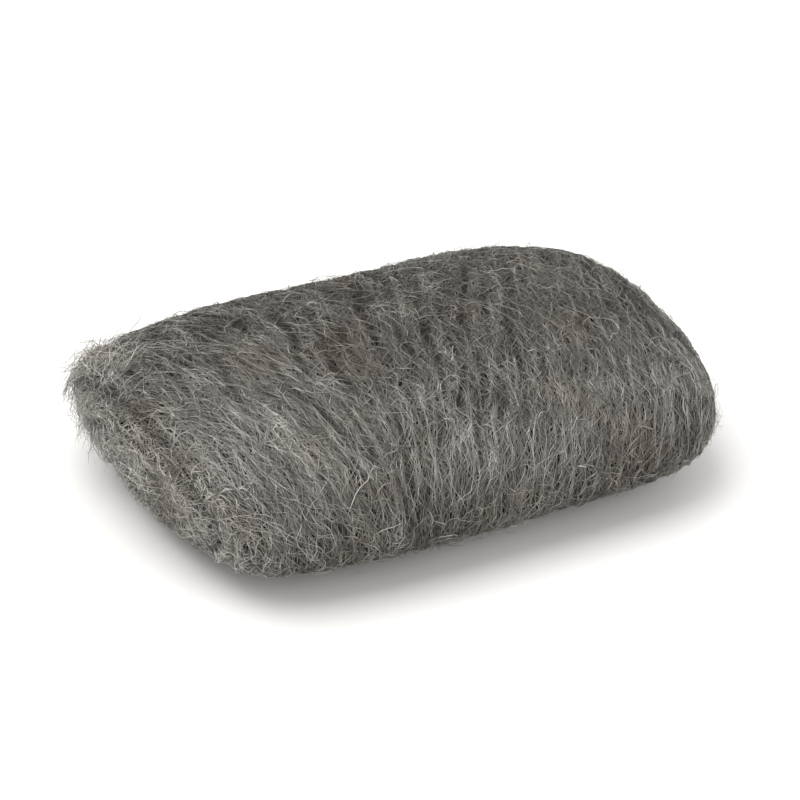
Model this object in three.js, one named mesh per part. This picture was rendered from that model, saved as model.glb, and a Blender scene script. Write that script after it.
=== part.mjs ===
// A steel wool pad: one wide ribbon of fine steel fibre, rolled flat on itself into a soft block.
//
// Millimetres, +Z up. +X runs along the pad, from its loose, slanted end at -X to its tight end at +X.
// Y runs across the pad, the way that the fibres are wrapped round it. The origin is the middle of the
// footprint, on the surface that the pad lies on.
//
// The pad is one closed solid. Its section across X is a flattened oval, the outer turn of the ribbon.
// The two ends are the ribbon's edges, with the gaps between its turns sunk a little way into them.
import * as THREE from "three";
import { mergeVertices } from "three/addons/utils/BufferGeometryUtils.js";

// Driving dimensions
const padLength = 122; // along X
const padWidth = 76; // along Y
const padThickness = 32; // along Z
const ribbonThickness = 5.2; // one turn of the rolled ribbon
const flattened = 1.3; // how much of the underside the pad's own weight has pressed flat

// Form
const sectionPower = 2.3; // of the flattened oval: 2 is an ellipse, and higher is squarer
const crown = 2.2; // how much higher the middle of the top is than its two ends
const crownShare = 0.4; // how much of the crown is a rise in the middle, and the rest is a fall at the ends
const looseEndPower = 5; // how squarely the section closes at each end
const tightEndPower = 4.3;
const looseEndSlant = 0.18; // how far the loose end's far side stands out, as a share of the width
const looseEndLean = 0.31; // how far its top stands out over its foot, as a share of the thickness
const looseEndTuck = 4.5; // how far its far flank is tucked in, below that standing corner
const turnDip = 0.9; // how far the gap between two turns sinks into an end
const turnGap = 1.8; // how wide that gap is
const outermostGap = 0.5; // the first gap lies further in than this, in turns
const innermostTurn = 0.3; // and the last lies further out than this, in turns from the middle
const endSharpness = 12; // how suddenly the ends' own form takes over from the sides'

// The gentle unevenness of soft wool: two slow waves, each its height and what one millimetre along X,
// Y and Z adds to its angle
const topWave = { height: 0.35, alongX: 0.062, alongY: 0.05, startX: 0.9, startY: -0.4 };
const sideWave = { height: 0.3, alongX: 0.11, alongY: -0.07, alongZ: 0.05 };

// Surface steps along each side of the block that the form is drawn from
const stepsLong = 40;
const stepsWide = 30;
const stepsThick = 20;

// 1 on the section's own outline, and less inside it. y and z are shares of its half width and height.
function sectionSize(y, z) {
  return (Math.abs(y) ** sectionPower + Math.abs(z) ** sectionPower) ** (1 / sectionPower);
}

// How deep the gaps between the turns of the roll sink into an end, at a point of it.
// A turn's outline is the section shrunk by whole ribbon thicknesses, so the turns are flat ovals.
function gapDepth(y, z) {
  const halfThickness = padThickness / 2;
  const inward = 1 - sectionSize(y / (padWidth / 2), z / halfThickness);
  const turn = (inward * halfThickness) / ribbonThickness;
  const fromGap = (turn - Math.round(turn)) * ribbonThickness;
  const lastTurn = halfThickness / ribbonThickness - innermostTurn;
  const isBetweenTurns = turn > outermostGap && turn < lastTurn;
  return isBetweenTurns ? turnDip * Math.exp(-((fromGap / turnGap) ** 2)) : 0;
}

// How far the skin stands out, in millimetres, at a point of the pad.
function unevenness({ x, y, z }) {
  const alongTop = Math.sin(topWave.alongX * x + topWave.startX);
  const acrossTop = Math.cos(topWave.alongY * y + topWave.startY);
  const aroundSide = Math.sin(sideWave.alongX * x + sideWave.alongY * y + sideWave.alongZ * z);
  return topWave.height * alongTop * acrossTop + sideWave.height * aroundSide;
}

// Moves a point of the 2 x 2 x 2 block onto the pad.
function shape(point) {
  const isLooseEnd = point.x < 0;
  const endPower = isLooseEnd ? looseEndPower : tightEndPower;
  const size =
    (sectionSize(point.y, point.z) ** endPower + Math.abs(point.x) ** endPower) ** (1 / endPower);
  point.divideScalar(size);

  const { x, y, z } = point;
  const atEnd = Math.abs(x) ** endSharpness;
  point.y *= padWidth / 2;
  point.z *= padThickness / 2;
  point.x *= padLength / 2;
  point.x -= Math.sign(x) * atEnd * gapDepth(point.y, point.z);
  if (isLooseEnd) {
    const tuck = looseEndTuck * (1 - z * z) * Math.max(y, 0);
    point.x -= (looseEndSlant * point.y + looseEndLean * point.z - tuck) * x * x;
  }
  point.z += crown * (crownShare - x * x) * Math.max(z, 0);

  const outward = new THREE.Vector3(0, point.y / padWidth, point.z / padThickness);
  if (outward.lengthSq() > 0) {
    point.addScaledVector(outward.normalize(), unevenness(point) * (1 - atEnd));
  }
}

function padGeometry() {
  const block = new THREE.BoxGeometry(2, 2, 2, stepsLong, stepsWide, stepsThick);
  block.deleteAttribute("normal");
  block.deleteAttribute("uv");
  const geometry = mergeVertices(block);

  const position = geometry.getAttribute("position");
  const point = new THREE.Vector3();
  for (let i = 0; i < position.count; i++) {
    point.fromBufferAttribute(position, i);
    shape(point);
    position.setXYZ(i, point.x, point.y, point.z);
  }

  // Stand the pad on its flattened underside, centred over the origin.
  geometry.computeBoundingBox();
  const { min, max } = geometry.boundingBox;
  geometry.translate(-(min.x + max.x) / 2, -(min.y + max.y) / 2, -min.z - flattened);
  for (let i = 0; i < position.count; i++) {
    position.setZ(i, Math.max(position.getZ(i), 0));
  }
  geometry.computeVertexNormals();
  return geometry;
}

const steelWool = new THREE.MeshStandardMaterial({
  color: 0x74716c,
  roughness: 0.6,
  metalness: 0.9,
});

const pad = new THREE.Mesh(padGeometry(), steelWool);
pad.name = "steel_wool_pad";

const root = new THREE.Group();
root.add(pad);

export default root;
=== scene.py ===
# A steel wool pad lying on a pale table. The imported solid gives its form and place, and the fine
# steel fibres are grown over that form, wrapped round it as the real ribbon is rolled.
import math

import bmesh
import bpy
from mathutils import Matrix, Vector


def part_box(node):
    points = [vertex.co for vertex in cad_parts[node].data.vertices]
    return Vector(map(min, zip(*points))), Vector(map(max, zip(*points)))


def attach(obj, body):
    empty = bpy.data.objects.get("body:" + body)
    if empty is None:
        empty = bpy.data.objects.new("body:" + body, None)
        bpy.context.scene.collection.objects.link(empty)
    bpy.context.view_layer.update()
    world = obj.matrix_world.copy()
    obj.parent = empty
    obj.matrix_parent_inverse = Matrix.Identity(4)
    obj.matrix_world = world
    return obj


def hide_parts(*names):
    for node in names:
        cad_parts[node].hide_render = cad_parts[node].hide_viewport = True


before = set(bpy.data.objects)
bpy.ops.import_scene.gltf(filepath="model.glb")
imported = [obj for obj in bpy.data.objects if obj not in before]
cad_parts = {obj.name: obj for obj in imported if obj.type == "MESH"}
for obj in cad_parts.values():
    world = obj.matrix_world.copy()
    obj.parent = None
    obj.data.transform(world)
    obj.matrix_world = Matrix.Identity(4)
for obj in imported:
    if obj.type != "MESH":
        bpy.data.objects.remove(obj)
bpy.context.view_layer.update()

mm = 0.001
padLow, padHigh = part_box("steel_wool_pad")
padMiddle = (padLow + padHigh) / 2
padHalf = (padHigh - padLow) / 2
patternJump = 17.3  # sets one fibre's or crease's own line of noise well apart from the next one's


def hexToLinear(hexColour):
    channels = [int(hexColour[i:i + 2], 16) / 255 for i in (1, 3, 5)]
    return [c / 12.92 if c <= 0.04045 else ((c + 0.055) / 1.055) ** 2.4 for c in channels] + [1]


# Adds a node. Its inputs are given in the order of its own sockets, each a value, a socket or a
# node whose first output is meant, and None leaves one alone. A noise's are its place, scale, detail
# and roughness, and a map range's are its value and the two ends of each range.
def addNode(tree, kind, *inputs, **settings):
    node = tree.nodes.new(kind)
    for name, value in settings.items():
        setattr(node, name, value)
    sockets = [socket for socket in node.inputs if socket.enabled]
    if len(inputs) > len(sockets):
        raise ValueError(kind + " was given more inputs than it has")
    for socket, value in zip(sockets, inputs):
        if isinstance(value, bpy.types.Node):
            value = next(output for output in value.outputs if output.enabled)
        if isinstance(value, bpy.types.NodeSocket):
            tree.links.new(value, socket)
        elif value is not None:
            socket.default_value = value
    return node


def addInputs(tree, sockets):
    for name, kind, value in sockets:
        socket = tree.interface.new_socket(name, in_out="INPUT", socket_type="NodeSocket" + kind)
        if value is not None:
            socket.default_value = value
    return addNode(tree, "NodeGroupInput").outputs


def addOutputs(tree, sockets):
    for name, kind, source in sockets:
        tree.interface.new_socket(name, in_out="OUTPUT", socket_type="NodeSocket" + kind)
    addNode(tree, "NodeGroupOutput", *[source for name, kind, source in sockets])


# Runs a node tree on a piece's mesh with these named inputs, and leaves the result as a plain mesh.
def growInto(piece, tree, values):
    modifier = piece.modifiers.new(tree.name, "NODES")
    modifier.node_group = tree
    identifiers = {item.name: item.identifier for item in tree.interface.items_tree}
    for name, value in values.items():
        modifier[identifiers[name]] = value
    bpy.context.view_layer.update()
    evaluated = piece.evaluated_get(bpy.context.evaluated_depsgraph_get())
    grown = bpy.data.meshes.new_from_object(evaluated)
    grown.name = piece.name
    piece.modifiers.remove(modifier)
    piece.data = grown
    return piece


def newPiece(name, mesh):
    piece = bpy.data.objects.new(name, mesh)
    bpy.context.scene.collection.objects.link(piece)
    return piece


# Low carbon steel wire, shaved into fibre: bright bare metal, rough from the cutter, so that each
# fibre catches a soft light along its length and the gaps between fibres stay nearly black.
fibreFinish = {
    "darkest": "#52514d",
    "middle": "#9a9892",
    "brightest": "#dbd9d3",
    "warmTint": "#9c8a7c",  # faint brown where the wool has started to dull
    "warmth": 0.2,  # how strongly that tint shows at most
    "roughness": 0.45,
}


def shavedSteelFibre():
    material = bpy.data.materials.new("shavedSteelFibre")
    material.use_nodes = True
    tree = material.node_tree
    tree.nodes.clear()
    # The map's first number is how bright a fibre is, and its second how warm
    fibreMap = addNode(tree, "ShaderNodeUVMap", uv_map="OFBake")
    shadeAndWarmth = addNode(tree, "ShaderNodeSeparateXYZ", fibreMap)
    ramp = addNode(tree, "ShaderNodeValToRGB", shadeAndWarmth.outputs["X"])
    ramp.color_ramp.elements[0].color = hexToLinear(fibreFinish["darkest"])
    ramp.color_ramp.elements[1].color = hexToLinear(fibreFinish["brightest"])
    ramp.color_ramp.elements.new(0.5).color = hexToLinear(fibreFinish["middle"])
    warmth = addNode(
        tree, "ShaderNodeMath", shadeAndWarmth.outputs["Y"], fibreFinish["warmth"],
        operation="MULTIPLY")
    colour = addNode(
        tree, "ShaderNodeMix", warmth, ramp.outputs["Color"], hexToLinear(fibreFinish["warmTint"]),
        data_type="RGBA")
    shader = addNode(tree, "ShaderNodeBsdfPrincipled", colour)
    shader.inputs["Metallic"].default_value = 1
    shader.inputs["Roughness"].default_value = fibreFinish["roughness"]
    addNode(tree, "ShaderNodeOutputMaterial", shader)
    return material


# The felt under the loose fibres: the same shaved steel, packed close and in its own colours, so
# that what shows between the fibres is thin dull lines, crossing at small angles over gaps painted
# nearly black as the shade deep under the fibres.
feltFinish = {
    # painted shade: the colour of the gaps between the felt's lines, nearly black as the shade deep
    # under the fibres
    "gap": "#1f1e1c",
    "fibre": "#7d7a74",
    "lineAcross": 0.3 * mm,  # a real fibre is about 0.04 mm, drawn this coarse so that it shows
    "lineAlong": 7 * mm,
    "lineFrom": 0.5,  # the noise that lines begin at, and the one where they are brightest
    "lineWhole": 0.68,
    "waveBy": 1.2 * mm,
    "waveOver": 6 * mm,
    "layers": 3,
    "layerShift": 310 * mm,  # further than the pad is long, so that no two layers are alike
    "metallic": 0.9,
    "roughness": 0.55,
    "bump": 0.25 * mm,
}


def packedSteelFelt():
    material = bpy.data.materials.new("packedSteelFelt")
    material.use_nodes = True
    tree = material.node_tree
    tree.nodes.clear()
    place = addNode(tree, "ShaderNodeTexCoord").outputs["Object"]
    ribbon = addNode(tree, "ShaderNodeAttribute", attribute_name="ribbon").outputs["Fac"]
    across = 1 / feltFinish["lineAcross"]
    along = 1 / feltFinish["lineAlong"]
    lines = None
    for layer in range(feltFinish["layers"]):
        # Each layer of lines has waves of its own, so the layers cross
        shift = (layer * feltFinish["layerShift"], 0, 0)
        apart = addNode(tree, "ShaderNodeVectorMath", place, shift, operation="ADD")
        wave = addNode(tree, "ShaderNodeTexNoise", apart, 1 / feltFinish["waveOver"], 1, 0.5)
        wave = addNode(tree, "ShaderNodeMath", wave, 0.5, operation="SUBTRACT")
        waved = addNode(
            tree, "ShaderNodeMath", wave, 2 * feltFinish["waveBy"], ribbon,
            operation="MULTIPLY_ADD")
        stretched = addNode(
            tree, "ShaderNodeVectorMath", apart, (0, along, along), operation="MULTIPLY")
        sideways = addNode(tree, "ShaderNodeMath", waved, across, operation="MULTIPLY")
        sideways = addNode(tree, "ShaderNodeCombineXYZ", sideways)
        stretched = addNode(tree, "ShaderNodeVectorMath", stretched, sideways, operation="ADD")
        noise = addNode(tree, "ShaderNodeTexNoise", stretched, 1, 1, 0.5)
        line = addNode(
            tree, "ShaderNodeMapRange", noise, feltFinish["lineFrom"], feltFinish["lineWhole"],
            0, 1)
        if lines:
            line = addNode(tree, "ShaderNodeMath", lines, line, operation="MAXIMUM")
        lines = line
    # The gaps between the lines are painted nearly black, as painted shade
    colour = addNode(
        tree, "ShaderNodeMix", lines, hexToLinear(feltFinish["gap"]),
        hexToLinear(feltFinish["fibre"]), data_type="RGBA")
    bump = addNode(tree, "ShaderNodeBump")
    bump.inputs["Distance"].default_value = feltFinish["bump"]
    tree.links.new(lines.outputs[0], bump.inputs["Height"])
    shader = addNode(tree, "ShaderNodeBsdfPrincipled", colour)
    shader.inputs["Metallic"].default_value = feltFinish["metallic"]
    shader.inputs["Roughness"].default_value = feltFinish["roughness"]
    tree.links.new(bump.outputs["Normal"], shader.inputs["Normal"])
    addNode(tree, "ShaderNodeOutputMaterial", shader)
    return material


# How the ribbon lies on the pad. It was wrapped a little askew, so its fibres fan out along it.
ribbonLay = {
    "tiltLoose": 0.17,  # how far along X the fibres stray for each step across Y, near each end
    "tiltTight": -0.42,
    "lean": 0.3,  # and for each step up, at the loose end
    "looseUntil": -30 * mm,  # the tilt changes over from the one to the other between these places
    "tightFrom": 6 * mm,
    "tiltSteps": 4,  # how closely the fan is worked out
    "endFrom": 0.6,  # shares of the half length, where the sides change over to the ends
    "endWhole": 0.85,
    "turn": 5.2 * mm,  # one turn of the roll
    "turnWander": 0.54 * mm,  # how unevenly the turns lie on the ends
    "wander": 1.8 * mm,  # how far a strand drifts sideways
    "wanderOver": 9 * mm,
    "wanderDetail": 2,
    "wanderRoughness": 0.45,
    "slopeOver": 0.3 * mm,  # the coordinate's slope is measured over this step
}


# The ribbon's own coordinate over the pad's skin: it grows across the ribbon, so it is level along
# every fibre. On the sides it is the distance along the pad, and on the two ends it goes on inwards
# from turn to turn of the roll.
def ribbonTree():
    tree = bpy.data.node_groups.new("ribbonCoordinate", "GeometryNodeTree")
    given = addInputs(tree, [("Place", "Vector", None)])
    fromMiddle = addNode(
        tree, "ShaderNodeVectorMath", given["Place"], tuple(padMiddle), operation="SUBTRACT")
    part = addNode(tree, "ShaderNodeSeparateXYZ", fromMiddle).outputs
    across = part["X"]
    for followedBack in range(ribbonLay["tiltSteps"]):  # along a straight fibre to the pad's middle
        tilt = addNode(
            tree, "ShaderNodeMapRange", across, ribbonLay["looseUntil"], ribbonLay["tightFrom"],
            ribbonLay["tiltLoose"], ribbonLay["tiltTight"])
        across = addNode(
            tree, "ShaderNodeMath", part["Y"], tilt, part["X"], operation="MULTIPLY_ADD")
    lean = addNode(tree, "ShaderNodeMapRange", part["X"], -padHalf.x, 0, ribbonLay["lean"], 0)
    across = addNode(tree, "ShaderNodeMath", part["Z"], lean, across, operation="MULTIPLY_ADD")

    # On the ends, how far in from the pad's outline
    section = addNode(
        tree, "ShaderNodeVectorMath", fromMiddle, (0, 1 / padHalf.y, 1 / padHalf.z),
        operation="MULTIPLY")
    section = addNode(tree, "ShaderNodeVectorMath", section, operation="LENGTH")
    inward = addNode(tree, "ShaderNodeMapRange", section.outputs["Value"], 1, 0, 0, padHalf.z)
    endwards = addNode(tree, "ShaderNodeMath", part["X"], 1 / padHalf.x, operation="MULTIPLY")
    endwards = addNode(tree, "ShaderNodeMath", endwards, operation="ABSOLUTE")
    atEnd = addNode(
        tree, "ShaderNodeMapRange", endwards, ribbonLay["endFrom"], ribbonLay["endWhole"], 0, 1)
    inward = addNode(tree, "ShaderNodeMath", inward, atEnd, operation="MULTIPLY")
    side = addNode(tree, "ShaderNodeMath", part["X"], operation="SIGN")
    ribbon = addNode(tree, "ShaderNodeMath", inward, side, across, operation="MULTIPLY_ADD")

    noise = addNode(
        tree, "ShaderNodeTexNoise", given["Place"], 1 / ribbonLay["wanderOver"],
        ribbonLay["wanderDetail"], ribbonLay["wanderRoughness"])
    wander = addNode(tree, "ShaderNodeMath", noise, 0.5, operation="SUBTRACT")
    ribbon = addNode(
        tree, "ShaderNodeMath", wander, 2 * ribbonLay["wander"], ribbon, operation="MULTIPLY_ADD")
    turn = addNode(
        tree, "ShaderNodeMath", wander, 2 * ribbonLay["turnWander"], inward,
        operation="MULTIPLY_ADD")
    turn = addNode(tree, "ShaderNodeMath", turn, ribbonLay["turn"], operation="DIVIDE")
    addOutputs(tree, [("Ribbon", "Float", ribbon), ("Turn", "Float", turn)])
    return tree


# Which way the fibres run along the skin at a place, and which way is across them.
def runTree(ribbonOf):
    tree = bpy.data.node_groups.new("runOfFibres", "GeometryNodeTree")
    given = addInputs(tree, [("Place", "Vector", None), ("Skin normal", "Vector", None)])
    here = addNode(tree, "GeometryNodeGroup", given["Place"], node_tree=ribbonOf)
    slopes = []
    for offset in Matrix.Identity(3) * ribbonLay["slopeOver"]:
        near = addNode(tree, "ShaderNodeVectorMath", given["Place"], tuple(offset), operation="ADD")
        there = addNode(tree, "GeometryNodeGroup", near, node_tree=ribbonOf)
        slopes.append(addNode(tree, "ShaderNodeMath", there, here, operation="SUBTRACT"))
    slope = addNode(tree, "ShaderNodeCombineXYZ", *slopes)
    off = addNode(tree, "ShaderNodeVectorMath", slope, given["Skin normal"], operation="PROJECT")
    flat = addNode(tree, "ShaderNodeVectorMath", slope, off, operation="SUBTRACT")
    across = addNode(tree, "ShaderNodeVectorMath", flat, operation="NORMALIZE")
    along = addNode(
        tree, "ShaderNodeVectorMath", given["Skin normal"], across, operation="CROSS_PRODUCT")
    addOutputs(tree, [
        ("Along", "Vector", along), ("Across", "Vector", across),
        ("Ribbon", "Float", here.outputs["Ribbon"]), ("Turn", "Float", here.outputs["Turn"])])
    return tree


lockSizes = {
    "across": 1.0 * mm,
    "along": 6 * mm,
    "samples": 7,
    "gap": 0.42,  # the noise in the gap beside a lock, and along its middle
    "full": 0.58,
    "creaseApart": 5 * mm,
    "creaseOver": 28 * mm,  # how far a crease runs before it closes again
    "creaseDrift": 2.5,  # how many creases' widths it drifts sideways
    "creaseWidth": 0.17,  # as a share of the way to the next one
    "creaseFrom": 0.42,  # the noise that a crease begins at, and the one where it is deepest
    "creaseWhole": 0.62,
    "creasedFrom": -28 * mm,  # creases are deep between these places
    "creasedUntil": 5 * mm,
    "faintUntil": -48 * mm,  # and this share as deep beyond these
    "faintFrom": 35 * mm,
    "faintest": 0.35,
    "turnGap": 0.2,  # half the gap between two turns of the roll, in turns
}


# How fibres gather into locks: 1 along the middle of a lock, and 0 in the gaps beside it, in a
# crease and between two turns of the roll.
def lockTree():
    tree = bpy.data.node_groups.new("locksOfFibre", "GeometryNodeTree")
    given = addInputs(tree, [
        ("Place", "Vector", None), ("Along", "Vector", None), ("Ribbon", "Float", 0),
        ("Turn", "Float", 0)])
    # Round lumps, averaged over a short way along the fibres, draw out into locks
    total = 0
    for sample in range(lockSizes["samples"]):
        reach = (sample / (lockSizes["samples"] - 1) - 0.5) * lockSizes["along"]
        spot = addNode(
            tree, "ShaderNodeVectorMath", given["Along"], (reach, reach, reach), given["Place"],
            operation="MULTIPLY_ADD")
        lump = addNode(tree, "ShaderNodeTexNoise", spot, 1 / lockSizes["across"], 0)
        total = addNode(tree, "ShaderNodeMath", lump, total, operation="ADD")
    mean = addNode(tree, "ShaderNodeMath", total, lockSizes["samples"], operation="DIVIDE")
    lock = addNode(tree, "ShaderNodeMapRange", mean, lockSizes["gap"], lockSizes["full"], 0, 1)

    # Long thin creases, where strands have parted: lines along the fibres, here and there
    drift = addNode(tree, "ShaderNodeTexNoise", given["Place"], 1 / lockSizes["creaseOver"], 1, 0.5)
    line = addNode(
        tree, "ShaderNodeMath", given["Ribbon"], lockSizes["creaseApart"], operation="DIVIDE")
    line = addNode(
        tree, "ShaderNodeMath", drift, lockSizes["creaseDrift"], line, operation="MULTIPLY_ADD")
    fromLine = addNode(tree, "ShaderNodeMath", line, 0.5, operation="PINGPONG")
    crease = addNode(tree, "ShaderNodeMapRange", fromLine, 0, lockSizes["creaseWidth"], 1, 0)
    lineNumber = addNode(tree, "ShaderNodeMath", line, operation="ROUND")
    alongLine = addNode(tree, "ShaderNodeSeparateXYZ", given["Place"]).outputs["Y"]
    alongLine = addNode(
        tree, "ShaderNodeMath", alongLine, lockSizes["creaseOver"], operation="DIVIDE")
    alongLine = addNode(
        tree, "ShaderNodeMath", lineNumber, patternJump, alongLine, operation="MULTIPLY_ADD")
    hereAndThere = addNode(tree, "ShaderNodeTexNoise", alongLine, 1, 0, noise_dimensions="1D")
    hereAndThere = addNode(
        tree, "ShaderNodeMapRange", hereAndThere, lockSizes["creaseFrom"], lockSizes["creaseWhole"],
        0, 1)
    crease = addNode(tree, "ShaderNodeMath", crease, hereAndThere, operation="MULTIPLY")
    for deep, faint in (("creasedUntil", "faintFrom"), ("creasedFrom", "faintUntil")):
        fading = addNode(
            tree, "ShaderNodeMapRange", given["Ribbon"], lockSizes[deep], lockSizes[faint], 1,
            lockSizes["faintest"])
        crease = addNode(tree, "ShaderNodeMath", crease, fading, operation="MULTIPLY")
    uncreased = addNode(tree, "ShaderNodeMath", 1, crease, operation="SUBTRACT")
    lock = addNode(tree, "ShaderNodeMath", lock, uncreased, operation="MULTIPLY")

    # And the gaps between the turns of the roll, on its ends
    fromGap = addNode(tree, "ShaderNodeMath", given["Turn"], 0.5, operation="PINGPONG")
    clear = addNode(tree, "ShaderNodeMapRange", fromGap, 0, lockSizes["turnGap"], 0, 1)
    outermost = addNode(tree, "ShaderNodeMath", given["Turn"], 0.5, operation="LESS_THAN")
    clear = addNode(tree, "ShaderNodeMath", clear, outermost, operation="MAXIMUM")
    lock = addNode(tree, "ShaderNodeMath", lock, clear, operation="MULTIPLY")
    addOutputs(tree, [("Lock", "Float", lock), ("Crease", "Float", crease)])
    return tree


# Sinks the pad's skin evenly, under the loose fibres that lie on it, and marks it with the ribbon's
# coordinate for its material.
def feltTree(ribbonOf):
    tree = bpy.data.node_groups.new("sunkenFelt", "GeometryNodeTree")
    given = addInputs(tree, [
        ("Geometry", "Geometry", None),
        ("Sink", "Float", 0.75 * mm),
        ("Material", "Material", None),
    ])
    place = addNode(tree, "GeometryNodeInputPosition")
    ribbon = addNode(tree, "GeometryNodeGroup", place, node_tree=ribbonOf)
    marked = addNode(
        tree, "GeometryNodeStoreNamedAttribute", given["Geometry"], True, "ribbon",
        ribbon.outputs["Ribbon"], data_type="FLOAT", domain="POINT")
    depth = addNode(tree, "ShaderNodeMath", given["Sink"], -1, operation="MULTIPLY")
    normal = addNode(tree, "GeometryNodeInputNormal")
    offset = addNode(tree, "ShaderNodeVectorMath", normal, depth, operation="SCALE")
    sunk = addNode(tree, "GeometryNodeSetPosition", marked, True, None, offset)
    whole = addNode(tree, "GeometryNodeRealizeInstances", sunk)
    dressed = addNode(tree, "GeometryNodeSetMaterial", whole, True, given["Material"])
    addOutputs(tree, [("Geometry", "Geometry", dressed)])
    return tree


# What all the layers of fibre share
fibreHabits = {
    "endFrom": 0.4,  # the skin is partly an end where it faces along X this much, and then wholly
    "endWhole": 0.8,
    "underFrom": -0.5,  # and the underside where it faces down
    "underWhole": -0.95,
    "underShare": 0.25,  # of the fibres grow there, where they don't show
    "tipWhole": 4 * mm,  # how near the loose end's far corner the tuft grows
    "tipUntil": 13 * mm,
    "straightness": 3,  # a higher power keeps more of the fibres close to the wrap
    "noiseLow": 0.25,  # a noise keeps mostly between these, and a fibre's wave spans them
    "noiseHigh": 0.75,
    "besideLock": 0.35 * mm,  # how far to each side a fibre feels for a lock to slide into
    "lowest": -0.4,  # of the lift, so that some fibres lie under their neighbours
    "midLock": 0.6,  # a fibre deeper in a lock than this stands proud, and one outside it sinks
    "tuckPower": 3,  # a higher power tucks in only the very ends
    "risePower": 2,  # and lifts only the free end
    "overTable": 0.2 * mm,
    "thinned": 0.6,  # of its thickness is gone at a fibre's very end
    "thinnest": 0.7,
    "stoutest": 1.3,
    "mapSpread": 0.012,  # how far a fibre's three sides are set apart on its map
    "mapEdge": 0.01,
}

# Each thing that a fibre has of its own is drawn with the layer's seed and this
draws = {"length": 1, "stray": 2, "lift": 3, "rise": 4, "shade": 5, "curl": 6, "stoutness": 7}

# What makes a fibre lighter or darker than its own shade, on a scale of 0 to 1, and what warmer. The
# lock, crease and loose end shares paint light and shade onto the fibres; the patches and the warmth
# are their own tone.
shadeShares = {
    "patch": 0.32,
    "patchOver": 7 * mm,
    # painted light and shade: lighter along the middle of a lock, darker in the gaps beside it and
    # between turns of the roll
    "lock": 0.5,
    # painted shade: darker along a crease, where the strands have parted
    "crease": -0.6,
    # painted light: lighter toward the loose end, where its fibres turn up over the edge and catch
    # the light, growing between these places
    "looseEndPaintedLight": 0.08,
    "looseLightFrom": -10 * mm,
    "looseLightWhole": -52 * mm,
    "warmOver": 14 * mm,
    "warmShift": (0.4, 0.1, 0.7),  # so that the warm patches aren't the light or dark ones
    "warmFrom": 0.5,
    "warmWhole": 0.75,
    "warmest": 0.9,
}


# How many fibres start at a place on the skin: each layer has its own share on the sides, the loose
# end and the tight end, and all have fewer underneath.
def densityOver(tree, given, place, skinNormal):
    facing = addNode(tree, "ShaderNodeSeparateXYZ", skinNormal)
    endwards = addNode(tree, "ShaderNodeMath", facing.outputs["X"], operation="ABSOLUTE")
    onEnd = addNode(
        tree, "ShaderNodeMapRange", endwards, fibreHabits["endFrom"], fibreHabits["endWhole"], 0, 1)
    onTight = addNode(tree, "ShaderNodeMath", facing.outputs["X"], 0, operation="GREATER_THAN")
    endShare = addNode(
        tree, "ShaderNodeMix", onTight, given["Loose end share"], given["Tight end share"])
    share = addNode(tree, "ShaderNodeMix", onEnd, given["Wrap share"], endShare)
    under = addNode(
        tree, "ShaderNodeMapRange", facing.outputs["Z"], fibreHabits["underWhole"],
        fibreHabits["underFrom"], fibreHabits["underShare"], 1)
    density = addNode(
        tree, "ShaderNodeMath", given["Fibres per square metre"], share, operation="MULTIPLY")
    density = addNode(tree, "ShaderNodeMath", density, under, operation="MULTIPLY")
    toTip = addNode(tree, "ShaderNodeVectorMath", place, tuple(looseTip), operation="DISTANCE")
    nearTip = addNode(
        tree, "ShaderNodeMapRange", toTip, fibreHabits["tipWhole"], fibreHabits["tipUntil"], 1, 0)
    nearTip = addNode(tree, "ShaderNodeMix", given["Near tip"], 1, nearTip)
    return addNode(tree, "ShaderNodeMath", density, nearTip, operation="MULTIPLY")


# Scatters the fibres' starts over the skin, and strings each of them, copied once for each step,
# into a path. Every path remembers the number of its fibre.
def pathsOver(tree, given, skin, density):
    starts = addNode(
        tree, "GeometryNodeDistributePointsOnFaces", skin, True, density, given["Seed"])
    number = addNode(tree, "GeometryNodeInputIndex")
    numbered = addNode(
        tree, "GeometryNodeStoreNamedAttribute", starts, True, "fibre", number,
        data_type="INT", domain="POINT")
    fibre = addNode(tree, "GeometryNodeInputNamedAttribute", "fibre", data_type="INT")
    copied = addNode(
        tree, "GeometryNodeDuplicateElements", numbered, True, given["Steps"], domain="POINT")
    strung = addNode(
        tree, "GeometryNodePointsToCurves", copied, fibre, copied.outputs["Duplicate Index"])
    return strung, fibre


# How much more of a lock there is on one side of a place than on the other
def lockSlope(tree, locks, running, place):
    lockBeside = []
    for sideways in (fibreHabits["besideLock"], -fibreHabits["besideLock"]):
        beside = addNode(
            tree, "ShaderNodeVectorMath", running["Across"], (sideways, sideways, sideways), place,
            operation="MULTIPLY_ADD")
        ribbonBeside = addNode(
            tree, "ShaderNodeMath", running["Ribbon"], sideways, operation="ADD")
        lockBeside.append(addNode(
            tree, "GeometryNodeGroup", beside, running["Along"], ribbonBeside, running["Turn"],
            node_tree=locks))
    return addNode(tree, "ShaderNodeMath", *lockBeside, operation="SUBTRACT")


# How high a fibre stands off the skin at each of its points. Its own lift and rise are drawn for it.
def standOff(tree, given, lift, rise, lockHere, along, nearEnd):
    lift = addNode(tree, "ShaderNodeMath", lift, given["Lift"], operation="MULTIPLY")
    relief = addNode(
        tree, "ShaderNodeMath", lockHere, fibreHabits["midLock"], operation="SUBTRACT")
    height = addNode(
        tree, "ShaderNodeMath", relief, given["Relief"], lift, operation="MULTIPLY_ADD")
    tucked = addNode(tree, "ShaderNodeMath", given["Tuck"], -1, operation="MULTIPLY")
    height = addNode(tree, "ShaderNodeMix", nearEnd, height, tucked)
    rise = addNode(tree, "ShaderNodeMath", rise, given["Free end rise"], operation="MULTIPLY")
    risen = addNode(tree, "ShaderNodeMath", along, fibreHabits["risePower"], operation="POWER")
    return addNode(tree, "ShaderNodeMath", risen, rise, height, operation="MULTIPLY_ADD")
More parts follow.
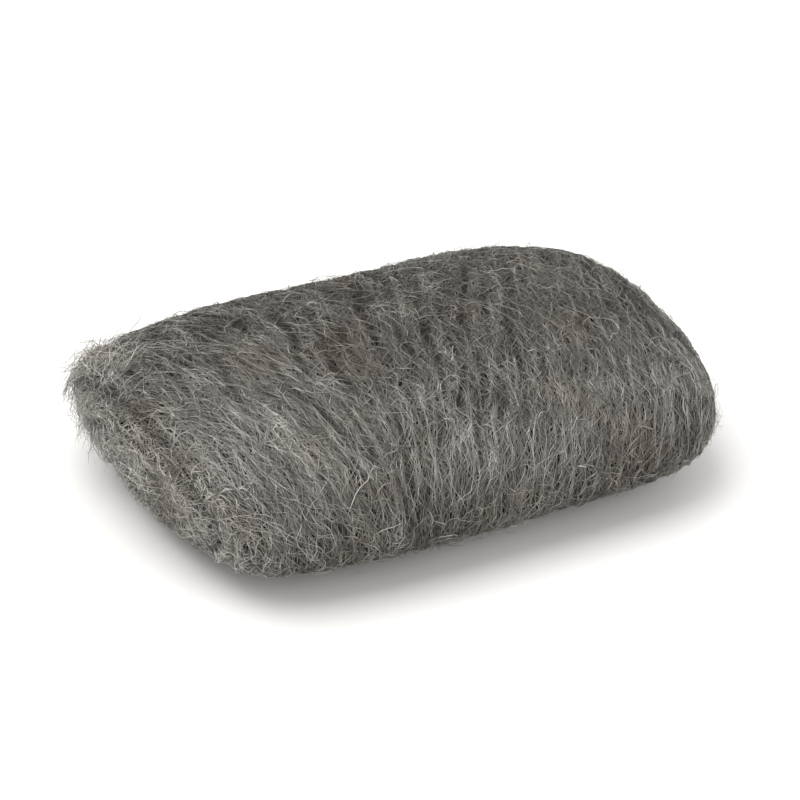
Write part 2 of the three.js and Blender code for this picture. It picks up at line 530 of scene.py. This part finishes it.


# How bright and how warm a fibre is at a place, from its own shade, random patches and a warm tint,
# with painted shade in the gaps beside locks, in creases and between the turns of the roll, and
# painted light along the middles of locks and toward the loose end
def fibreLook(tree, place, ownShade, ribbon, lockHere):
    patch = addNode(tree, "ShaderNodeTexNoise", place, 1 / shadeShares["patchOver"], 1)
    patch = addNode(tree, "ShaderNodeMath", patch, 0.5, operation="SUBTRACT")
    shade = addNode(
        tree, "ShaderNodeMath", patch, shadeShares["patch"], ownShade, operation="MULTIPLY_ADD")
    # Painted shade in the gaps beside a lock and between turns of the roll, and painted light along
    # its middle
    paintedLockShade = addNode(tree, "ShaderNodeMath", lockHere, 0.5, operation="SUBTRACT")
    shade = addNode(
        tree, "ShaderNodeMath", paintedLockShade, shadeShares["lock"], shade, operation="MULTIPLY_ADD")
    # Painted shade along the creases
    shade = addNode(
        tree, "ShaderNodeMath", lockHere.outputs["Crease"], shadeShares["crease"], shade,
        operation="MULTIPLY_ADD")
    # Painted light, lighter toward the loose end where the fibres turn up over its edge
    loose = addNode(
        tree, "ShaderNodeMapRange", ribbon, shadeShares["looseLightFrom"],
        shadeShares["looseLightWhole"], 0, shadeShares["looseEndPaintedLight"])
    shade = addNode(tree, "ShaderNodeMath", shade, loose, operation="ADD")
    warmPlace = addNode(
        tree, "ShaderNodeVectorMath", place, shadeShares["warmShift"], operation="ADD")
    warm = addNode(tree, "ShaderNodeTexNoise", warmPlace, 1 / shadeShares["warmOver"], 0)
    warm = addNode(
        tree, "ShaderNodeMapRange", warm, shadeShares["warmFrom"], shadeShares["warmWhole"], 0,
        shadeShares["warmest"])
    return addNode(tree, "ShaderNodeCombineXYZ", shade, warm)


# Makes each path a closed three sided strand, as thick as its share at each point
def strandsAlong(tree, paths, thickness, share):
    profile = addNode(tree, "GeometryNodeCurvePrimitiveCircle", 3)
    radius = addNode(tree, "ShaderNodeMath", thickness, 0.5, operation="MULTIPLY")
    tree.links.new(radius.outputs[0], profile.inputs["Radius"])
    side = addNode(tree, "GeometryNodeInputIndex")
    sided = addNode(
        tree, "GeometryNodeStoreNamedAttribute", profile, True, "side", side,
        data_type="FLOAT", domain="POINT")
    strands = addNode(tree, "GeometryNodeCurveToMesh", paths, sided, share, True)

    # The map that the material reads, spread a little so that no face is without width on it, and
    # kept within its edges
    storedLook = addNode(
        tree, "GeometryNodeInputNamedAttribute", "look", data_type="FLOAT_VECTOR")
    storedSide = addNode(tree, "GeometryNodeInputNamedAttribute", "side", data_type="FLOAT")
    spreadBy = addNode(
        tree, "ShaderNodeMath", storedSide, fibreHabits["mapSpread"], operation="MULTIPLY")
    spreadOut = addNode(tree, "ShaderNodeCombineXYZ", spreadBy, spreadBy)
    mapped = addNode(tree, "ShaderNodeVectorMath", storedLook, spreadOut, operation="ADD")
    low, high = fibreHabits["mapEdge"], 1 - fibreHabits["mapEdge"]
    mapped = addNode(tree, "ShaderNodeVectorMath", mapped, (low, low, 0), operation="MAXIMUM")
    mapped = addNode(tree, "ShaderNodeVectorMath", mapped, (high, high, 0), operation="MINIMUM")
    return addNode(
        tree, "GeometryNodeStoreNamedAttribute", strands, True, "OFBake", mapped,
        data_type="FLOAT2", domain="CORNER")


# Grows fibres over the skin it is given. Each starts at a random place, walks along the skin a step
# at a time the way that the ribbon is wrapped, and is then lifted off it in the middle and tucked in
# at its ends.
def fibreTree(run, locks):
    tree = bpy.data.node_groups.new("fibresOverSkin", "GeometryNodeTree")
    given = addInputs(tree, [
        ("Geometry", "Geometry", None),
        ("Fibres per square metre", "Float", 0.1e6),
        ("Wrap share", "Float", 1),
        ("Loose end share", "Float", 0),
        ("Tight end share", "Float", 0),
        ("Seed", "Int", 0),
        ("Near tip", "Float", 0),
        ("Steps", "Int", 10),
        ("Length", "Float", 13 * mm),
        ("Length spread", "Float", 0.35),
        ("Thickness", "Float", 0.2 * mm),
        ("Stray angle", "Float", 1.0),
        ("Wave angle", "Float", 0.5),
        ("Wave length", "Float", 5 * mm),
        ("Curl", "Float", 0),
        ("Lift", "Float", 0.5 * mm),
        ("Tuck", "Float", 0.9 * mm),
        ("Free end rise", "Float", 0),
        ("Gather", "Float", 0.1),
        ("Relief", "Float", 0.7 * mm),
        ("Darkest", "Float", 0.2),
        ("Brightest", "Float", 0.7),
        ("Material", "Material", None),
    ])
    place = addNode(tree, "GeometryNodeInputPosition")
    skinNormal = addNode(tree, "GeometryNodeInputNormal")

    # The skin, which remembers its own smooth normals
    skin = addNode(
        tree, "GeometryNodeStoreNamedAttribute", given["Geometry"], True, "skinNormal", skinNormal,
        data_type="FLOAT_VECTOR", domain="POINT")

    density = densityOver(tree, given, place, skinNormal)
    strung, fibre = pathsOver(tree, given, skin, density)

    # What each fibre has of its own
    def drawn(name, low, high):
        seed = addNode(tree, "ShaderNodeMath", given["Seed"], draws[name], operation="ADD")
        return addNode(
            tree, "FunctionNodeRandomValue", low, high, fibre, seed, data_type="FLOAT")

    shortest = addNode(tree, "ShaderNodeMath", 1, given["Length spread"], operation="SUBTRACT")
    longest = addNode(tree, "ShaderNodeMath", 1, given["Length spread"], operation="ADD")
    lengthShare = drawn("length", shortest, longest)
    lastStep = addNode(tree, "ShaderNodeMath", given["Steps"], 1, operation="SUBTRACT")
    step = addNode(tree, "ShaderNodeMath", given["Length"], lengthShare, operation="MULTIPLY")
    step = addNode(tree, "ShaderNodeMath", step, lastStep, operation="DIVIDE")
    stray = drawn("stray", -1, 1)
    stray = addNode(tree, "ShaderNodeMath", stray, fibreHabits["straightness"], operation="POWER")
    stray = addNode(tree, "ShaderNodeMath", stray, given["Stray angle"], operation="MULTIPLY")

    # The walk
    walkStart = addNode(tree, "GeometryNodeRepeatInput")
    walkEnd = addNode(tree, "GeometryNodeRepeatOutput")
    walkStart.pair_with_output(walkEnd)
    tree.links.new(lastStep.outputs[0], walkStart.inputs["Iterations"])
    tree.links.new(strung.outputs[0], walkStart.inputs["Geometry"])
    walked = walkStart.outputs["Iteration"]
    gone = addNode(tree, "ShaderNodeMath", walked, step, operation="MULTIPLY")
    phase = addNode(tree, "ShaderNodeMath", gone, given["Wave length"], operation="DIVIDE")
    phase = addNode(tree, "ShaderNodeMath", fibre, patternJump, phase, operation="MULTIPLY_ADD")
    wave = addNode(tree, "ShaderNodeTexNoise", phase, 1, 0, noise_dimensions="1D")
    wave = addNode(
        tree, "ShaderNodeMapRange", wave, fibreHabits["noiseLow"], fibreHabits["noiseHigh"], -1, 1,
        clamp=False)
    angle = addNode(
        tree, "ShaderNodeMath", wave, given["Wave angle"], stray, operation="MULTIPLY_ADD")
    curl = addNode(
        tree, "ShaderNodeMath", drawn("curl", -1, 1), given["Curl"], operation="MULTIPLY")
    angle = addNode(tree, "ShaderNodeMath", curl, gone, angle, operation="MULTIPLY_ADD")
    storedNormal = addNode(
        tree, "GeometryNodeInputNamedAttribute", "skinNormal", data_type="FLOAT_VECTOR")
    normalHere = addNode(
        tree, "GeometryNodeSampleNearestSurface", skin, storedNormal, None, place,
        data_type="FLOAT_VECTOR")
    running = addNode(tree, "GeometryNodeGroup", place, normalHere, node_tree=run).outputs
    turned = addNode(
        tree, "ShaderNodeVectorRotate", running["Along"], (0, 0, 0), normalHere, angle,
        rotation_type="AXIS_ANGLE")
    # Each step also slides across towards the middle of the nearest lock
    slope = lockSlope(tree, locks, running, place)
    slide = addNode(tree, "ShaderNodeMath", slope, given["Gather"], operation="MULTIPLY")
    slide = addNode(tree, "ShaderNodeVectorMath", running["Across"], slide, operation="SCALE")
    turned = addNode(tree, "ShaderNodeVectorMath", turned, slide, operation="ADD")
    stepped = addNode(tree, "ShaderNodeVectorMath", turned, step, place, operation="MULTIPLY_ADD")
    onSkin = addNode(tree, "GeometryNodeProximity", skin, None, stepped, target_element="FACES")
    pointNumber = addNode(tree, "GeometryNodeSplineParameter").outputs["Index"]
    stillWalking = addNode(
        tree, "FunctionNodeCompare", pointNumber, walked, data_type="INT", operation="GREATER_THAN")
    moved = addNode(
        tree, "GeometryNodeSetPosition", walkStart.outputs["Geometry"], stillWalking,
        onSkin.outputs["Position"])
    tree.links.new(moved.outputs[0], walkEnd.inputs["Geometry"])

    # The walked paths are lifted off the skin
    lockHere = addNode(
        tree, "GeometryNodeGroup", place, running["Along"], running["Ribbon"], running["Turn"],
        node_tree=locks)
    along = addNode(tree, "ShaderNodeMath", pointNumber, lastStep, operation="DIVIDE")
    fromMiddle = addNode(tree, "ShaderNodeMath", along, 2, -1, operation="MULTIPLY_ADD")
    fromMiddle = addNode(tree, "ShaderNodeMath", fromMiddle, operation="ABSOLUTE")
    nearEnd = addNode(
        tree, "ShaderNodeMath", fromMiddle, fibreHabits["tuckPower"], operation="POWER")
    lift = drawn("lift", fibreHabits["lowest"], 1)
    rise = drawn("rise", 0, 1)
    height = standOff(tree, given, lift, rise, lockHere, along, nearEnd)
    raised = addNode(tree, "ShaderNodeVectorMath", normalHere, height, operation="SCALE")
    lifted = addNode(
        tree, "GeometryNodeSetPosition", walkEnd.outputs["Geometry"], True, None, raised)

    # Nothing goes through the table that the pad lies on. -1 is far outside, so X and Y stay.
    lowest = (-1, -1, fibreHabits["overTable"])
    overTable = addNode(tree, "ShaderNodeVectorMath", place, lowest, operation="MAXIMUM")
    rested = addNode(tree, "GeometryNodeSetPosition", lifted, True, overTable)

    ownShade = drawn("shade", given["Darkest"], given["Brightest"])
    look = fibreLook(tree, place, ownShade, running["Ribbon"], lockHere)
    looked = addNode(
        tree, "GeometryNodeStoreNamedAttribute", rested, True, "look", look,
        data_type="FLOAT_VECTOR", domain="POINT")

    # Each fibre is drawn out thin at its ends
    tapered = addNode(
        tree, "ShaderNodeMath", nearEnd, -fibreHabits["thinned"], 1, operation="MULTIPLY_ADD")
    stoutness = drawn("stoutness", fibreHabits["thinnest"], fibreHabits["stoutest"])
    tapered = addNode(tree, "ShaderNodeMath", tapered, stoutness, operation="MULTIPLY")
    strands = strandsAlong(tree, looked, given["Thickness"], tapered)
    smooth = addNode(tree, "GeometryNodeSetShadeSmooth", strands, True, True)
    whole = addNode(tree, "GeometryNodeRealizeInstances", smooth)
    dressed = addNode(tree, "GeometryNodeSetMaterial", whole, True, given["Material"])
    addOutputs(tree, [("Geometry", "Geometry", dressed)])
    return tree


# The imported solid's form as one smooth skin: its loose triangles merged, paired into squares and
# divided once, so that the fibres that lie on it show no edges.
def padSkin():
    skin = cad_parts["steel_wool_pad"].data.copy()
    form = bmesh.new()
    form.from_mesh(skin)
    sameSpot = 0.01 * mm
    bmesh.ops.remove_doubles(form, verts=form.verts, dist=sameSpot)
    bmesh.ops.join_triangles(
        form, faces=form.faces, angle_face_threshold=math.pi, angle_shape_threshold=math.pi)
    bmesh.ops.recalc_face_normals(form, faces=form.faces)
    form.to_mesh(skin)
    form.free()
    carrier = newPiece("skinCarrier", skin)
    divide = carrier.modifiers.new("divide", "SUBSURF")
    divide.levels = 1
    divide.render_levels = 1
    bpy.context.view_layer.update()
    smooth = bpy.data.meshes.new_from_object(
        carrier.evaluated_get(bpy.context.evaluated_depsgraph_get()))
    bpy.data.objects.remove(carrier)
    smooth.materials.clear()
    smooth.shade_smooth()
    return smooth


padForm = padSkin()
tipTowards = (-1, 0.4, 1)  # the way that the loose end's standing corner points
looseTip = max((vertex.co for vertex in padForm.vertices), key=lambda spot: spot.dot(tipTowards))

# From the wool's lowest layer to its stray ends, each with its own sizes where they differ from the
# tree's. A real fibre is about 0.04 mm thick: these are two to four times as thick and far fewer, so
# that they show and still cover the pad. Angles are in radians, and a curl is in radians a metre.
fibreLayers = {
    "fibres_lowest": {
        "Fibres per square metre": 0.21e6, "Seed": 11, "Steps": 8, "Length": 20 * mm,
        "Thickness": 0.17 * mm, "Lift": 0.1 * mm, "Darkest": 0.25, "Brightest": 0.55},
    "fibres_inner": {
        "Fibres per square metre": 0.24e6, "Seed": 17, "Length": 20 * mm, "Thickness": 0.15 * mm,
        "Lift": 0.2 * mm, "Darkest": 0.25, "Brightest": 0.55},
    "fibres_middle": {
        "Fibres per square metre": 0.24e6, "Seed": 23, "Length": 28 * mm, "Wave length": 8 * mm,
        "Thickness": 0.13 * mm, "Lift": 0.3 * mm, "Darkest": 0.23, "Brightest": 0.54},
    "fibres_outer": {
        "Fibres per square metre": 0.24e6, "Seed": 37, "Length": 30 * mm, "Wave length": 8 * mm,
        "Thickness": 0.12 * mm, "Lift": 0.4 * mm, "Darkest": 0.22, "Brightest": 0.58},
    "fibres_loose_end": {
        "Fibres per square metre": 1.1e6, "Wrap share": 0.03, "Loose end share": 1.0, "Seed": 41,
        "Length": 12 * mm, "Thickness": 0.14 * mm, "Stray angle": 2.2, "Wave angle": 0.8,
        "Curl": 400, "Lift": 0.9 * mm, "Gather": 0.35, "Relief": 1.8 * mm, "Darkest": 0.4,
        "Brightest": 0.95},
    "fibres_tight_end": {
        "Fibres per square metre": 0.8e6, "Wrap share": 0.0, "Tight end share": 1.0, "Seed": 53,
        "Thickness": 0.15 * mm, "Stray angle": 0.9, "Wave angle": 0.6, "Darkest": 0.25,
        "Brightest": 0.6},
    "fibres_tuft": {
        "Fibres per square metre": 2e6, "Loose end share": 1.0, "Near tip": 1, "Seed": 61,
        "Length": 9 * mm, "Thickness": 0.11 * mm, "Stray angle": 3, "Wave angle": 0.8, "Curl": 250,
        "Free end rise": 5 * mm, "Darkest": 0.4, "Brightest": 0.95},
    "fibres_stray": {
        "Fibres per square metre": 0.07e6, "Wrap share": 0.5, "Loose end share": 1.0,
        "Tight end share": 2.0, "Seed": 67, "Length": 9 * mm, "Thickness": 0.08 * mm,
        "Stray angle": 2.5, "Wave angle": 0.9, "Curl": 150, "Lift": 0.8 * mm,
        "Free end rise": 2.5 * mm, "Darkest": 0.4, "Brightest": 0.9},
}


def buildPad():
    ribbonOf = ribbonTree()
    locks = lockTree()
    felt = feltTree(ribbonOf)
    fibres = fibreTree(runTree(ribbonOf), locks)
    fibreMaterial = shavedSteelFibre()

    core = growInto(newPiece("wool_core", padForm.copy()), felt, {"Material": packedSteelFelt()})
    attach(core, "root")
    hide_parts("steel_wool_pad")
    print("core:", len(core.data.polygons), "faces")

    for name, sizes in fibreLayers.items():
        values = {**sizes, "Material": fibreMaterial}
        piece = growInto(newPiece(name, padForm.copy()), fibres, values)
        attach(piece, "root")
        triangles = sum(len(face.vertices) - 2 for face in piece.data.polygons)
        print(name + ":", triangles, "triangles")


stageLook = {
    "floor": "#f2f1ef", "floorRoughness": 0.9, "floorSize": 4.0, "world": "#ffffff",
    "worldStrength": 0.8}


def buildStage():
    form = bmesh.new()
    bmesh.ops.create_grid(form, x_segments=1, y_segments=1, size=stageLook["floorSize"] / 2)
    mesh = bpy.data.meshes.new("floor")
    form.to_mesh(mesh)
    form.free()
    floor = newPiece("floor", mesh)
    paper = bpy.data.materials.new("mattWhitePaper")
    paper.use_nodes = True
    shader = paper.node_tree.nodes["Principled BSDF"]
    shader.inputs["Base Color"].default_value = hexToLinear(stageLook["floor"])
    shader.inputs["Roughness"].default_value = stageLook["floorRoughness"]
    mesh.materials.append(paper)

    world = bpy.data.worlds.new("studio")
    world.use_nodes = True
    background = world.node_tree.nodes["Background"]
    background.inputs["Color"].default_value = hexToLinear(stageLook["world"])
    background.inputs["Strength"].default_value = stageLook["worldStrength"]
    bpy.context.scene.world = world


# Places and sizes in metres, power in watts
softboxes = {
    "keyAboveLeft": {"from": (-0.4, 0.1, 1.0), "size": 0.8, "power": 9},
    "fillFront": {"from": (0.5, -0.8, 0.6), "size": 0.8, "power": 2.5},
}


def buildLights():
    for name, box in softboxes.items():
        light = bpy.data.lights.new(name, "AREA")
        light.size = box["size"]
        light.energy = box["power"]
        lamp = newPiece(name, light)
        lamp.location = Vector(box["from"])
        lamp.rotation_euler = (padMiddle - lamp.location).to_track_quat("-Z", "Y").to_euler()


# Angles in degrees, the distance in metres and the lens in millimetres
cameraPlace = {"azimuth": -31.5, "elevation": 35.5, "roll": 5.9, "distance": 0.68, "lens": 152}


def buildCamera():
    camera = newPiece("camera", bpy.data.cameras.new("camera"))
    azimuth = math.radians(cameraPlace["azimuth"])
    elevation = math.radians(cameraPlace["elevation"])
    back = Vector((
        math.sin(azimuth) * math.cos(elevation),
        -math.cos(azimuth) * math.cos(elevation),
        math.sin(elevation)))
    camera.location = padMiddle + back * cameraPlace["distance"]
    turn = (-back).to_track_quat("-Z", "Y").to_matrix().to_4x4()
    roll = Matrix.Rotation(math.radians(cameraPlace["roll"]), 4, "Z")
    camera.rotation_euler = (turn @ roll).to_euler()
    camera.data.lens = cameraPlace["lens"]
    bpy.context.scene.camera = camera


bpy.context.scene.view_settings.view_transform = "Standard"
buildCamera()
buildStage()
buildLights()
print("stage, lights and camera are ready")
buildPad()
